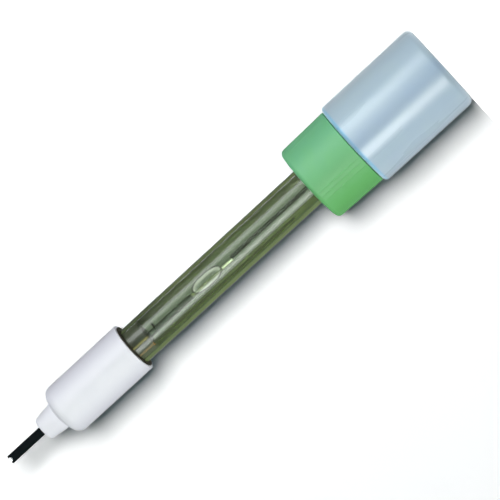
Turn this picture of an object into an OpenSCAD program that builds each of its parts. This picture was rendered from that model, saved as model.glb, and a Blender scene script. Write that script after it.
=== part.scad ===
// Combination electrode for pH, standing in its storage bottle.
// Millimetres, +Z up. The origin is the middle of the bottle's flat base,
// and every piece lies on or around the Z axis.

/* [Storage bottle] */
// Outside diameter of the bottle
bottle_d = 27.7; // [25:0.1:34]
// Height of the bottle up to its shoulder
bottle_h = 33.7; // [26:0.1:60]
// Thickness of the bottle's side wall
bottle_wall = 1.5; // [1:0.1:2]
// Thickness of the bottle's floor
bottle_floor = 2.1; // [1.2:0.1:3]
// Thickness of the bottle's shoulder under the collar
shoulder_t = 1.8; // [1.2:0.1:2.6]
// Radius of the edge round the closed end
base_edge_r = 2.2; // [1:0.1:3]
// Radius of the edge round the shoulder
shoulder_edge_r = 1.1; // [0.5:0.1:1.3]
// Thickness of the neck's wall
neck_wall = 1.1; // [1:0.1:1.8]
// Height of the neck above the shoulder
neck_h = 10.5; // [8:0.1:16]

/* [Screw collar] */
// Outside diameter of the collar at its skirt
collar_d = 25.6; // [24.6:0.1:27]
// Outside diameter of the collar at its top
collar_top_d = 24.9; // [24:0.1:26.2]
// Thickness of the collar's skirt where it is thinnest
skirt_wall = 1.2; // [1:0.1:1.8]
// Radial room for the screw thread between neck and skirt
thread_room = 1.2; // [1:0.05:1.4]
// Thickness of the collar's top
collar_top_t = 2.2; // [1.6:0.1:4]
// Radius of the collar's upper edge
collar_edge_r = 1.4; // [0.4:0.1:1.5]
// Radius of the collar's lower edge
skirt_edge_r = 0.4; // [0.2:0.1:0.6]
// Gap between the collar's skirt and the bottle's shoulder
skirt_gap = 0.2; // [0.1:0.05:0.6]
// Groups of grip ridges round the collar
ridge_groups = 4; // [2:1:6]
// Direction of the first group of ridges
first_ridge_angle = 247; // [0:1:359]
// Grip ridges in one group
ridge_count = 3; // [1:1:5]
// Distance between neighbouring ridges of a group
ridge_pitch = 1.5; // [1:0.1:2]
// Radius of one grip ridge
ridge_r = 0.3; // [0.2:0.05:0.5]
// How far a grip ridge stands out
ridge_proud = 0.12; // [0.05:0.01:0.18]

/* [Seal] */
// Thickness of the seal ring's round section
ring_cs = 3; // [2:0.1:3.2]
// Thickness of the washer under the seal ring
washer_t = 1.2; // [0.8:0.1:2]

/* [Body] */
// Outside diameter of the shaft
shaft_d = 12; // [11.6:0.1:12.2]
// Thickness of the shaft's wall
shaft_wall = 1.2; // [1:0.05:1.3]
// Length of the shaft from its tip to the gasket under the cap
shaft_len = 111.6; // [96:0.1:140]
// Height of the shaft's tip above the bottle's floor
tip_gap = 5.2; // [4.5:0.1:9]
// How far the shaft goes into the cap
tube_in_cap = 9.5; // [7:0.1:12]
// Length of the slots that leave the bulb open
guard_h = 10; // [8:0.1:12]
// Width of one slot
guard_slot_w = 3.2; // [2:0.1:4]
// Number of slots
guard_slots = 4; // [3:1:5]
// Radius of the edge round the tip
tip_edge_r = 0.5; // [0.2:0.1:0.8]

/* [Cap and cable] */
// How far the dark gasket lies inside the cap's edge
gasket_inset = 0.8; // [0:0.05:1.2]
// Thickness of the dark gasket
gasket_t = 0.4; // [0.3:0.1:1.6]
// Outside diameter of the cap
cap_d = 16.1; // [15.6:0.1:18]
// Height of the cap
cap_h = 29; // [24:0.1:36]
// Radius of the cap's round shoulder
cap_shoulder_r = 2.8; // [2:0.1:3.8]
// Thickness of the cap above its cavity
cap_top_t = 5.4; // [4:0.1:7]
// Width of the ledge in the cap on which the shaft ends
tube_ledge = 1.3; // [1:0.1:1.4]
// Diameter of the strain relief where it meets the cap
relief_base_d = 9.2; // [7.6:0.1:9.6]
// Diameter of the strain relief at its free end
relief_end_d = 7.3; // [5.6:0.1:7.8]
// Length of the strain relief outside the cap
relief_h = 6.8; // [5:0.1:12]
// Diameter of the strain relief's plug inside the cap
relief_plug_d = 6.2; // [5:0.1:6.8]
// Radius of the strain relief's free edge
relief_edge_r = 0.7; // [0.3:0.1:0.9]
// Depth of the fine seam between strain relief and cap
relief_seam = 0.15; // [0.05:0.05:0.3]
// Outside diameter of the cable
cable_d = 2.75; // [2.4:0.05:3.2]
// Length of cable outside the strain relief
cable_out = 13.3; // [8:0.1:20]
// Thickness of the cable's jacket
jacket_t = 0.4; // [0.3:0.05:0.5]
// Thickness of the cable's woven screen
braid_t = 0.2; // [0.15:0.05:0.25]
// Diameter of the copper core
core_d = 0.45; // [0.3:0.05:0.5]
// Width of the notch in the cable's cut end
cut_notch_w = 1.3; // [0.8:0.1:1.6]
// Depth of that notch
cut_notch_h = 1; // [0.4:0.1:2]
// How far the insulation ends below the tips of the jacket
insulation_recess = 0.5; // [0:0.1:1]
// How far the copper core ends below them
core_recess = 0.3; // [0:0.1:1]
// Length of the metal ferrule that stops the cable pulling out
ferrule_len = 4; // [2:0.1:5]
// Wall of that ferrule
ferrule_t = 0.6; // [0.4:0.05:0.8]
// Length of screen that shows below the jacket inside the cap
braid_bare = 3; // [1:0.1:3.5]
// Length of insulation that shows below the screen
insulation_bare = 2.5; // [1:0.1:3]

/* [Glass cell] */
// Outside diameter of the glass stem
stem_d = 6; // [5.4:0.1:6.4]
// Thickness of the stem's wall
stem_wall = 0.7; // [0.5:0.05:0.9]
// Radial gap between the blown bulb and the shaft's bore
bulb_gap = 0.6; // [0.4:0.1:0.9]
// Wall of the bulb
bulb_wall = 0.5; // [0.3:0.05:0.6]
// Distance from the shaft's tip up to the bulb
bulb_setback = 1.6; // [0.8:0.1:2]
// Height of the rubber plug that seals the stem in the shaft
plug_h = 4; // [2.5:0.1:6]
// Distance from the top of the slots up to that plug
plug_above_slots = 1.5; // [0.5:0.1:3]
// Diameter of the ceramic pin that joins the two solutions
junction_d = 1.1; // [0.8:0.05:1.2]
// Height of the stopper in the top of the stem
stopper_h = 3; // [2:0.1:5]
// Distance from the gasket down to the lowest potting
potting_show = 5; // [3:0.1:6]
// Height of the clear potting
potting_h = 7; // [6:0.1:12]

/* [Bubble and wires] */
// Length of the air bubble in the inner solution
bubble_len = 10.9; // [6:0.1:14]
// Thickness of the liquid film round the bubble
bubble_film = 0.2; // [0.15:0.05:0.8]
// Distance from the potting down to the bubble
bubble_drop = 17.9; // [14:0.1:26]
// Diameter of the dark coated wire in the middle
element_d = 1.1; // [0.5:0.05:1.2]
// Diameter of the bright silver wire
silver_d = 0.9; // [0.6:0.05:1]
// How far the silver wire lies beside the axis
silver_offset = 0.6; // [0.4:0.05:0.7]
// Length of bright wire below the bubble
silver_below = 4; // [1:0.1:8]
// Distance from the bubble up to the dark sleeve
sleeve_gap = 0.8; // [0.3:0.1:3]
// Outside diameter of the dark sleeve
sleeve_d = 1.9; // [1.4:0.05:2]
// Diameter of the two soldered leads in the potting
lead_d = 0.9; // [0.6:0.05:1]
// Diameter of the coated reference wire
ref_d = 0.7; // [0.5:0.05:0.9]
// Direction of the reference wire at the potting
ref_top_angle = 214; // [190:1:240]
// Direction of the reference wire lower down
ref_low_angle = 184; // [170:1:200]
// Height over which the reference wire leans outwards
ref_lean_len = 28; // [15:0.5:40]
// Length of the upright stretch under it
ref_straight_len = 26; // [10:0.5:40]

/* [Hidden] */
$fn = 96;

// Clearance between pieces that are glued, moulded or filled in place
seat = 0.05;
// Radial clearance where one piece turns or slides in another
run = 0.05;
// Radial clearance of the collar's hole round the shaft
hole_clear = 0.4;
// Radial clearance of the collar's pocket round the seal ring
pocket_clear = 0.1;
// Radial clearance of the washer in the collar's skirt
washer_clear = 0.8;
// Height left between the seal ring and the collar that presses it
press_gap = 0.05;
// How much thicker a wire is where it bends
bend_bead = 0.06;
// Extra length that lets a cut run out of the material
over = 1;

// Radii
bottle_r = bottle_d / 2;
skirt_r = min(collar_d, collar_top_d) / 2 - skirt_wall;
neck_r = skirt_r - thread_room;
neck_bore_r = neck_r - neck_wall;
shaft_r = shaft_d / 2;
bore_r = shaft_r - shaft_wall;
ring_in_r = shaft_r + run;
ring_out_r = ring_in_r + ring_cs;
cap_r = cap_d / 2;
cavity_r = shaft_r - tube_ledge;
stem_r = stem_d / 2;
stem_bore_r = stem_r - stem_wall;
bulb_r = bore_r - bulb_gap;
annulus_r = (stem_r + bore_r) / 2;
cable_r = cable_d / 2;
braid_r = cable_r - jacket_t;
insulation_r = braid_r - braid_t;
core_r = core_d / 2;
element_r = element_d / 2;
silver_r = silver_d / 2;
sleeve_r = sleeve_d / 2;
lead_r = lead_d / 2;
ref_r = ref_d / 2;

// Heights of the bottle, the seal and the collar
neck_top = bottle_h + neck_h;
washer_top = neck_top + washer_t;
ring_z = washer_top + ring_cs / 2;
ceiling_z = washer_top + ring_cs + press_gap;
collar_z = bottle_h + skirt_gap;
collar_top = ceiling_z + collar_top_t;
collar_slope = (collar_d - collar_top_d) / 2 / (collar_top - collar_z);
function collar_r(z) = collar_d / 2 - collar_slope * (z - collar_z);

// Heights of the electrode
tip_z = bottle_floor + tip_gap;
gasket_z = tip_z + shaft_len;
cap_z = gasket_z + gasket_t;
tube_top = gasket_z + tube_in_cap;
cap_top = cap_z + cap_h;
cavity_top = cap_top - cap_top_t;
relief_top = cap_top + relief_h;
cable_top = relief_top + cable_out;
slot_top = tip_z + guard_h;
bulb_z = tip_z + bulb_setback + bulb_r;
stem_z = bulb_z + sqrt(pow(bulb_r, 2) - pow(stem_r, 2));
plug_z = slot_top + plug_above_slots;
gel_z = plug_z + plug_h;
potting_z = gasket_z - potting_show;
stopper_z = potting_z - stopper_h;

// Heights of the wires and the bubble
bubble_top = potting_z - bubble_drop;
bubble_z = bubble_top - bubble_len;
silver_z = bubble_z - silver_below;
sleeve_z = bubble_top + sleeve_gap;
lead_top = tube_top + over;
ferrule_top = cavity_top;
ferrule_z = ferrule_top - ferrule_len;
braid_z = ferrule_z - braid_bare;
insulation_z = braid_z - insulation_bare;
ref_bend_z = potting_z - ref_lean_len;
ref_end_z = ref_bend_z - ref_straight_len;

// Point at a radius and direction from the axis
function polar(r, a, z) = [r * cos(a), r * sin(a), z];

// Removes the outer corner at x, y of a profile and leaves an arc
module corner_cut(x, y, r, up = 1) {
    translate([x - r, y - up * r]) difference() {
        translate([0, up > 0 ? 0 : -r - over]) square(r + over);
        circle(r);
    }
}

// Solid of revolution of a rectangle with rounded outer corners
module turned(r, z0, z1, low = 0, high = 0) {
    rotate_extrude() difference() {
        translate([0, z0]) square([r, z1 - z0]);
        if (low > 0) corner_cut(r, z0, low, -1);
        if (high > 0) corner_cut(r, z1, high, 1);
    }
}

// Tube about the axis
module sleeve(out_r, in_r, z0, z1) {
    translate([0, 0, z0]) difference() {
        cylinder(h = z1 - z0, r = out_r);
        translate([0, 0, -over]) cylinder(h = z1 - z0 + 2 * over, r = in_r);
    }
}

// Upright rod beside the axis
module post(x, r, z0, z1) {
    translate([x, 0, z0]) cylinder(h = z1 - z0, r = r);
}

// Straight rod between two points
module rod(p, q, r) {
    v = q - p;
    h = norm(v);
    translate(p) rotate([0, acos(v[2] / h), atan2(v[1], v[0])]) cylinder(h = h, r = r);
}

// Blow-moulded bottle with a flat floor and a plain neck
module storage_bottle() {
    color([0.65, 0.75, 0.81, 0.8]) difference() {
        union() {
            turned(bottle_r, 0, bottle_h, base_edge_r, shoulder_edge_r);
            cylinder(h = neck_top, r = neck_r);
        }
        turned(bottle_r - bottle_wall, bottle_floor, bottle_h - shoulder_t,
            base_edge_r - bottle_wall / 2, shoulder_edge_r);
        translate([0, 0, bottle_floor + over]) cylinder(h = neck_top, r = neck_bore_r);
    }
}

// One grip ridge that leans with the collar's taper
module grip_ridge(a) {
    sunk = ridge_r - ridge_proud;
    z0 = collar_z + skirt_edge_r;
    z1 = collar_top - collar_edge_r;
    rod(polar(collar_r(z0) - sunk, a, z0), polar(collar_r(z1) - sunk, a, z1), ridge_r);
}

// Collar that screws down and presses the seal ring onto the shaft
module screw_collar() {
    ridge_step = ridge_pitch / (collar_d / 2) * 180 / PI;
    edge_r = collar_r(collar_top - collar_edge_r);
    color([0.42, 0.74, 0.47]) difference() {
        union() {
            rotate_extrude() difference() {
                polygon([[0, collar_z], [collar_d / 2, collar_z],
                    [collar_top_d / 2, collar_top], [0, collar_top]]);
                corner_cut(edge_r, collar_top, collar_edge_r);
                corner_cut(collar_d / 2, collar_z, skirt_edge_r, -1);
            }
            for (g = [0 : ridge_groups - 1], i = [0 : ridge_count - 1])
                grip_ridge(first_ridge_angle + g * 360 / ridge_groups
                    + (i - (ridge_count - 1) / 2) * ridge_step);
        }
        translate([0, 0, collar_z - over])
            cylinder(h = washer_top + press_gap - collar_z + over, r = skirt_r);
        cylinder(h = ceiling_z, r = ring_out_r + pocket_clear);
        cylinder(h = collar_top + over, r = shaft_r + hole_clear);
    }
}

// Rubber ring that grips the shaft
module seal_ring() {
    color([0.12, 0.12, 0.12])
        rotate_extrude() translate([ring_in_r + ring_cs / 2, ring_z]) circle(d = ring_cs);
}

// Slip washer on the rim of the neck
module seal_washer() {
    color([0.9, 0.9, 0.86])
        sleeve(skirt_r - washer_clear, shaft_r + hole_clear, neck_top, washer_top);
}

// Clear shaft, open at both ends and slotted round the bulb
module body_tube() {
    color([0.45, 0.5, 0.28, 0.6]) difference() {
        turned(shaft_r, tip_z, tube_top, tip_edge_r);
        translate([0, 0, tip_z - over]) cylinder(h = tube_top - tip_z + 2 * over, r = bore_r);
        for (i = [0 : guard_slots - 1]) rotate([0, 0, (i + 0.5) * 360 / guard_slots]) {
            translate([0, -guard_slot_w / 2, tip_z - over])
                cube([shaft_r + over, guard_slot_w, guard_h - guard_slot_w / 2 + over]);
            translate([0, 0, slot_top - guard_slot_w / 2]) rotate([0, 90, 0])
                cylinder(h = shaft_r + over, d = guard_slot_w);
        }
    }
}

// Dark ring between shaft and cap
module cap_gasket() {
    color([0.2, 0.18, 0.12]) sleeve(cap_r - gasket_inset, shaft_r + seat, gasket_z, cap_z);
}

// Moulded cap with a round shoulder
module top_cap() {
    color([0.92, 0.94, 0.96]) difference() {
        turned(cap_r, cap_z, cap_top, 0, min(cap_shoulder_r, cap_r - relief_base_d / 2));
        translate([0, 0, cap_z - over])
            cylinder(h = tube_top - cap_z + over, r = shaft_r + seat);
        cylinder(h = cavity_top, r = cavity_r);
        cylinder(h = cap_top + over, r = relief_plug_d / 2 + seat);
    }
}

// Tapered strain relief with its plug in the cap
module strain_relief() {
    color([0.9, 0.91, 0.94]) difference() {
        union() {
            rotate_extrude() difference() {
                polygon([[0, cap_top], [relief_base_d / 2 - relief_seam, cap_top],
                    [relief_base_d / 2, cap_top + relief_seam],
                    [relief_end_d / 2, relief_top], [0, relief_top]]);
                corner_cut(relief_end_d / 2 + relief_edge_r
                    * (relief_base_d - relief_end_d) / 2 / relief_h,
                    relief_top, relief_edge_r);
            }
            translate([0, 0, cavity_top]) cylinder(h = cap_top_t + over, d = relief_plug_d);
        }
        translate([0, 0, cavity_top - over])
            cylinder(h = relief_top - cavity_top + 2 * over, r = cable_r + seat);
    }
}

// Black jacket, cut off with two short prongs
module cable_jacket() {
    color([0.05, 0.07, 0.08]) difference() {
        sleeve(cable_r, braid_r + seat / 2, ferrule_z, cable_top);
        translate([0, cable_r + over, cable_top - cut_notch_h + cut_notch_w / 2])
            rotate([90, 0, 0]) cylinder(h = 2 * (cable_r + over), d = cut_notch_w);
        translate([-cut_notch_w / 2, -cable_r - over, cable_top - cut_notch_h + cut_notch_w / 2])
            cube([cut_notch_w, 2 * (cable_r + over), cut_notch_h]);
    }
}

// Woven screen under the jacket
module cable_braid() {
    color([0.55, 0.5, 0.42])
        sleeve(braid_r, insulation_r + seat / 2, braid_z, cable_top - cut_notch_h);
}

// Insulation round the core
module cable_insulation() {
    color([0.75, 0.78, 0.78])
        sleeve(insulation_r, core_r + seat / 2, insulation_z, cable_top - insulation_recess);
}

// Copper core
module cable_core() {
    color([0.72, 0.45, 0.28])
        translate([0, 0, lead_top]) cylinder(h = cable_top - core_recess - lead_top, r = core_r);
}

// Ferrule crimped round the jacket under the strain relief
module crimp_ferrule() {
    color([0.75, 0.75, 0.76]) sleeve(cable_r + ferrule_t, cable_r + seat / 2, ferrule_z, ferrule_top);
}

// Glass tube that holds the inner solution
module glass_stem() {
    color([0.8, 0.88, 0.86, 0.4]) sleeve(stem_r, stem_bore_r, stem_z, potting_z);
}

// Bulb of sensing glass, blown on the end of the stem
module sensing_bulb() {
    color([0.75, 0.85, 0.9, 0.4]) difference() {
        translate([0, 0, bulb_z]) sphere(r = bulb_r);
        translate([0, 0, bulb_z]) sphere(r = bulb_r - bulb_wall);
        translate([0, 0, stem_z]) cylinder(h = bulb_r, r = bulb_r);
    }
}

// Rubber plug between stem and shaft
module stem_seal() {
    color([0.25, 0.25, 0.24]) difference() {
        sleeve(bore_r - seat, stem_r + seat, plug_z, gel_z);
        translate([0, annulus_r, plug_z - over])
            cylinder(h = plug_h + 2 * over, r = junction_d / 2 + seat);
    }
}

// Porous pin that joins the reference gel to the sample
module ceramic_junction() {
    color([0.93, 0.92, 0.88])
        translate([0, annulus_r, plug_z]) cylinder(h = plug_h, d = junction_d);
}

// Room for the wires that stand in the inner solution
module wire_room(clear) {
    post(0, element_r + clear, bulb_z - clear, silver_z + clear);
    post(-silver_offset, silver_r + clear, silver_z - clear, potting_z + over);
    post(-silver_offset, sleeve_r + clear, sleeve_z - clear, potting_z + over);
}

// Air bubble with round ends
module bubble() {
    r = stem_bore_r - bubble_film;
    translate([0, 0, bubble_z + r]) sphere(r = r);
    translate([0, 0, bubble_z + r]) cylinder(h = bubble_len - 2 * r, r = r);
    translate([0, 0, bubble_top - r]) sphere(r = r);
}

// Clear solution in stem and bulb, with the air bubble left out
module inner_buffer() {
    color([0.8, 0.85, 0.75, 0.3]) difference() {
        union() {
            intersection() {
                translate([0, 0, bulb_z]) sphere(r = bulb_r - bulb_wall - seat);
                translate([0, 0, bulb_z - bulb_r])
                    cylinder(h = stem_z - bulb_z + bulb_r, r = bulb_r);
            }
            translate([0, 0, bulb_z])
                cylinder(h = stopper_z - bulb_z, r = stem_bore_r - 2 * seat);
        }
        bubble();
        wire_room(seat);
    }
}

// Stopper in the top of the stem
module stem_stopper() {
    color([0.55, 0.57, 0.5]) difference() {
        translate([0, 0, stopper_z]) cylinder(h = stopper_h, r = stem_bore_r - seat);
        post(-silver_offset, sleeve_r + seat, stopper_z - over, potting_z + over);
    }
}

// Dark coated wire down to the bulb
module measuring_element() {
    color([0.12, 0.14, 0.12]) post(0, element_r, bulb_z, silver_z);
}

// Bright silver wire beside the axis
module measuring_wire() {
    color([0.82, 0.83, 0.8]) post(-silver_offset, silver_r, silver_z, potting_z);
}

// Dark sleeve over the silver wire
module wire_sleeve() {
    color([0.2, 0.24, 0.2]) translate([-silver_offset, 0, 0])
        sleeve(sleeve_r, silver_r + seat / 2, sleeve_z, potting_z);
}

// Gold-coloured lead in the potting
module measuring_lead() {
    color([0.8, 0.65, 0.25]) post(-silver_offset, lead_r, potting_z, lead_top);
}

// Line of the reference wire, as a solid of any thickness
module reference_line(r) {
    top = polar(annulus_r, ref_top_angle, potting_z);
    bend = polar(annulus_r, ref_low_angle, ref_bend_z);
    end = polar(annulus_r, ref_low_angle, ref_end_z);
    lean = (top - bend) / norm(top - bend);
    rod(bend, top + over * lean, r);
    translate(bend) sphere(r = r + bend_bead);
    rod(end, bend, r);
}

// Gel between stem and shaft
module reference_gel() {
    color([0.4, 0.45, 0.22, 0.5]) difference() {
        sleeve(bore_r - seat, stem_r + seat, gel_z, potting_z);
        reference_line(ref_r + seat);
    }
}

// Coated reference wire in the gel
module reference_element() {
    color([0.15, 0.18, 0.12]) difference() {
        reference_line(ref_r);
        translate([-shaft_r, -shaft_r, potting_z]) cube([shaft_d, shaft_d, 2 * over]);
    }
}

// Copper lead from the reference wire to the cable's screen
module reference_lead() {
    foot = polar(annulus_r, ref_top_angle, potting_z);
    turn = polar(annulus_r, ref_top_angle, tube_top);
    joint = polar(braid_r + lead_r + seat, ref_top_angle, (braid_z + ferrule_z) / 2);
    color([0.85, 0.5, 0.22]) {
        rod(foot, turn, lead_r);
        translate(turn) sphere(r = lead_r + bend_bead);
        rod(turn, joint, lead_r);
    }
}

// Clear potting that closes the shaft
module potting_plug() {
    foot = polar(annulus_r, ref_top_angle, potting_z - over);
    color([0.8, 0.82, 0.7, 0.4]) difference() {
        translate([0, 0, potting_z]) cylinder(h = potting_h, r = bore_r - seat);
        post(-silver_offset, lead_r + seat, potting_z - over, potting_z + potting_h + over);
        rod(foot, foot + [0, 0, potting_h + 2 * over], lead_r + seat);
    }
}

storage_bottle();
screw_collar();
seal_ring();
seal_washer();
body_tube();
cap_gasket();
top_cap();
strain_relief();
cable_jacket();
cable_braid();
cable_insulation();
cable_core();
crimp_ferrule();
glass_stem();
sensing_bulb();
stem_seal();
ceramic_junction();
inner_buffer();
stem_stopper();
measuring_element();
measuring_wire();
wire_sleeve();
measuring_lead();
reference_gel();
reference_element();
reference_lead();
potting_plug();
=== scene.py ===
import math

import bmesh
import bpy
from mathutils import Matrix, Vector


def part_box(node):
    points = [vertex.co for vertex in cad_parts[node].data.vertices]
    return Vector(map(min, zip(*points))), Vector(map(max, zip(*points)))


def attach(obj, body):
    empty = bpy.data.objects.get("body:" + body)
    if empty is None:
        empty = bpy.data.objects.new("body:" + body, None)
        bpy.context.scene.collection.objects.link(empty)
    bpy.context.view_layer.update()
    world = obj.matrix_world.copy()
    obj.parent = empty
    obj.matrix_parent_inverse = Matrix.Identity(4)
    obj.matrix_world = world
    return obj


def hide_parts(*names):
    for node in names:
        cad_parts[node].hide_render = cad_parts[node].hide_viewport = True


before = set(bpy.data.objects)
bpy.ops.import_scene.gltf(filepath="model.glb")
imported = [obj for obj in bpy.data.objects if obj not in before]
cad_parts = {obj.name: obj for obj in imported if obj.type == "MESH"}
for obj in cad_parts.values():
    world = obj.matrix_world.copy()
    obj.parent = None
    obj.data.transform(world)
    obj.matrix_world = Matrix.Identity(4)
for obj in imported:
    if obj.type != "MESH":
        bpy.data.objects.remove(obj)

bl_info = {
    "name": "pH Electrode",
    "version": (1, 0, 0),
    "blender": (4, 5, 0),
    "location": "View3D > Sidebar > Electrode",
    "description": "Dresses a pH electrode and its storage bottle, and sets the studio round them",
    "category": "Object",
}

MM = 0.001
WHITE = (1.0, 1.0, 1.0)

# Steps round a turned piece, finer on the large bottle and finest for the collar's ridges
AROUND = 128
AROUND_BOTTLE = 256
AROUND_COLLAR = 640
# Edges that turn by less than this are shaded smooth
SOFT_TURN = math.radians(35.0)
# Part of a turn over which a thread runs out into its wall
THREAD_FADE = math.radians(40.0)
# Grip ridges: their groups, the ridges in each, where the first group is and how they fade
RIDGE_GROUPS = 4
RIDGES_IN_GROUP = 3
FIRST_GROUP = math.radians(247.0)
RIDGE_FADE = 0.6 * MM
SKIRT_ROWS = 12
# Room between the glass stem and the gel's inner skin
GEL_ROOM = 0.05 * MM
# Over these heights the shaft gets darker towards the cap
DEEP_FROM = 92 * MM
DEEP_TO = 118 * MM
# Over this part of its width the shaft gets paler towards -X: painted light on the side that the
# key light leaves darker
PALE_FROM = -1 * MM
PALE_TO = -4.5 * MM

# Refractive indices, each against what surrounds the piece, and that of polished plastic
BULB_INDEX = 1.5
STEM_INDEX = 1.06
LIQUID_INDEX = 1.008
STOPPER_INDEX = 1.004
GEL_INDEX = 1.005
BUBBLE_INDEX = 1.01
POLISH_INDEX = 1.49

# The stage's sheets, in metres
FLOOR_HALF = 0.8
BACKDROP_HALF = 0.15
BACKDROP_TALL = 0.28
VEIL_GAP = 0.2 * MM
VEIL_LIGHT = 0.18
# Glow of the papers, with a little less green and blue so that shadows stay grey
PAPER_GLOW = (1.03, 0.95, 0.93)
# What the clear pieces show of the papers
OLIVE_SEEN = (0.205, 0.245, 0.18)
# Colour of the light that comes from all round
COOL_SKY = (0.85, 1.0, 1.08)
SENSOR_WIDTH_MM = 36.0
CLIP_NEAR = 0.01
CLIP_FAR = 10.0
# Lamps: turn and height in degrees, distance, width and height in metres, and level
LAMPS = {
    "key": (14.5, 0, 0.75, 0.34, 0.34, 0.92),
    "side_left": (100, 0, 0.6, 0.18, 0.4, 0.14),
    "side_right": (-100, 0, 0.6, 0.18, 0.4, 0.76),
    "top": (180, 72, 0.8, 0.3, 0.3, 0.35),
    "below": (180, -66, 0.7, 0.4, 0.4, 0.5),
}
# Soft boxes, told in the same way, that only gloss shows
SOFT_BOXES = {
    "box_left": (41, 0, 0.7, 0.31, 0.6, 0.82),
    "box_right": (-34, 0, 0.7, 0.27, 0.6, 1.1),
}


def length(name, description, mm):
    """A size property, given in millimetres and kept in metres."""
    return bpy.props.FloatProperty(
        name=name, description=description, default=mm * MM, unit="LENGTH", precision=5)


def tint(name, description, red, green, blue):
    """A colour property in linear light."""
    return bpy.props.FloatVectorProperty(
        name=name, description=description, default=(red, green, blue),
        subtype="COLOR", size=3, min=0.0, max=1.0)


def plain(name, description, default, top=1.0):
    """A number without a unit, from 0 to its top."""
    return bpy.props.FloatProperty(
        name=name, description=description, default=default, min=0.0, max=top, subtype="FACTOR")


def whole(name, description, default, least):
    """A whole number."""
    return bpy.props.IntProperty(
        name=name, description=description, default=default, min=least)


class BottleSettings(bpy.types.PropertyGroup):
    """Sizes and colour of the storage bottle."""
    wall: length("Wall", "Thickness of the side wall", 1.5)
    floor: length("Floor", "Thickness of the floor", 2.1)
    shoulder: length("Shoulder", "Thickness of the shoulder under the collar", 1.8)
    shoulder_gap: length("Shoulder gap", "Gap between shoulder and collar", 0.2)
    base_edge: length("Base edge", "Radius of the edge round the closed end", 2.2)
    shoulder_edge: length("Shoulder edge", "Radius of the edge round the shoulder", 1.1)
    neck: length("Neck", "Outside radius of the neck without its thread", 10.05)
    bore: length("Bore", "Inside radius of the neck", 8.95)
    colour: tint("Colour", "Pale blue of the moulded plastic", 0.44, 0.59, 0.68)


class ThreadSettings(bpy.types.PropertyGroup):
    """The screw thread that bottle and collar share."""
    lead: length("Lead", "Rise of the thread in one turn", 3.0)
    height: length("Height", "How far a thread stands off its wall", 0.85)
    base: length("Base", "Width of a thread at its foot", 1.7)
    crest: length("Crest", "Width of a thread at its crest", 0.7)
    sunk: length("Sunk", "How deep a thread's foot lies in its wall", 0.1)
    turns: plain("Turns", "Turns of each thread", 2.4, 6.0)


class CollarSettings(bpy.types.PropertyGroup):
    """Sizes and colours of the screw collar."""
    bore: length("Bore", "Inside radius of the skirt", 11.25)
    top_radius: length("Top radius", "Outside radius at the top", 12.45)
    foot_radius: length("Foot radius", "Outside radius at the skirt's edge", 12.8)
    top: length("Top", "Thickness of the top", 2.2)
    edge: length("Edge", "Radius of the upper edge", 1.4)
    skirt_edge: length("Skirt edge", "Radius of the lower edge", 0.4)
    hole: length("Hole", "Radius of the hole round the shaft", 6.4)
    pocket: length("Pocket", "Radius of the pocket for the seal ring", 9.15)
    pocket_depth: length("Pocket depth", "Height of the pocket above the skirt's bore", 3.0)
    ridge_pitch: length("Ridge pitch", "Distance between neighbouring grip ridges", 1.5)
    ridge_width: length("Ridge width", "Width of one grip ridge", 0.5)
    ridge_proud: length("Ridge proud", "How far a grip ridge stands out", 0.12)
    # Painted light: a cooler, bluer green on the +X side, where the key light falls, against a
    # warmer green on -X
    lit_side_green: tint("Cool green", "Green on the side towards +X", 0.160, 0.500, 0.262)
    shade_side_green: tint("Warm green", "Green on the side towards -X", 0.138, 0.490, 0.138)


class ShaftSettings(bpy.types.PropertyGroup):
    """Sizes and colours of the clear shaft and its gel."""
    wall: length("Wall", "Thickness of the shaft's wall", 1.2)
    tip_edge: length("Tip edge", "Radius of the edge round the tip", 0.5)
    slot_width: length("Slot width", "Width of a slot in the guard", 3.2)
    slot_height: length("Slot height", "Height of a slot in the guard", 10.0)
    rings: whole("Rings", "Rings of faces along the shaft", 40, 1)
    slots: whole("Slots", "Slots in the guard, an even number", 4, 2)
    colour: tint("Shaft colour", "Olive of the shaft's plastic", 0.115, 0.158, 0.055)
    gel: tint("Gel colour", "Olive of the gel", 0.155, 0.215, 0.078)
    deep: tint("Deep colour", "Darker olive towards the cap", 0.045, 0.065, 0.022)


class CellSettings(bpy.types.PropertyGroup):
    """Sizes and colours of the glass cell."""
    stem_bore: length("Stem bore", "Inside radius of the glass stem", 2.3)
    stem_edge: length("Stem edge", "Radius of the fire-polished ends", 0.12)
    wetting: length("Wetting", "How far the liquid's skin lies in the glass", 0.02)
    bubble_radius: length("Bubble radius", "Radius of the bubble", 2.22)
    bubble_square: plain("Bubble squareness", "Power that fills the bubble's ends out", 2.8, 6.0)
    bubble_rows: whole("Bubble rows", "Rows of faces on the bubble", 36, 8)
    bubble_foot: length("Bubble foot", "Height of the bubble's lower end", 85.1)
    bubble_head: length("Bubble head", "Height of the bubble's upper end", 96.0)
    glass: tint("Glass", "Faint green of the glass", 0.90, 0.95, 0.90)
    liquid: tint("Liquid", "Faint green of the liquid", 0.93, 0.96, 0.91)


class StageSettings(bpy.types.PropertyGroup):
    """Camera, backdrop and the light from all round."""
    distance: length("Distance", "Camera to the plane of the axis", 640.0)
    eye: length("Eye height", "Height of the camera above the floor", 4.3)
    aim: length("Aim height", "Height of the point that the camera looks at", 75.6)
    aside: length("Aside", "How far the camera stands beside the axis", -2.1)
    roll: bpy.props.FloatProperty(
        name="Roll", description="Turn of the picture about the line of sight",
        default=math.radians(132.52), subtype="ANGLE")
    lens: plain("Lens", "Focal length in millimetres for a sensor 36 mm wide", 162.5, 500.0)
    backdrop_gap: length("Backdrop gap", "Gap between bottle and backdrop", 0.7)
    ambient: plain("Ambient", "Light that comes from all round", 0.08)
    mirrored: plain("Mirrored", "Brightness of the room in gloss", 0.3)


def settings(name):
    """One of the property groups, as the scene holds it."""
    return getattr(bpy.context.scene, "electrode_" + name)


# Shader maths

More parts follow.
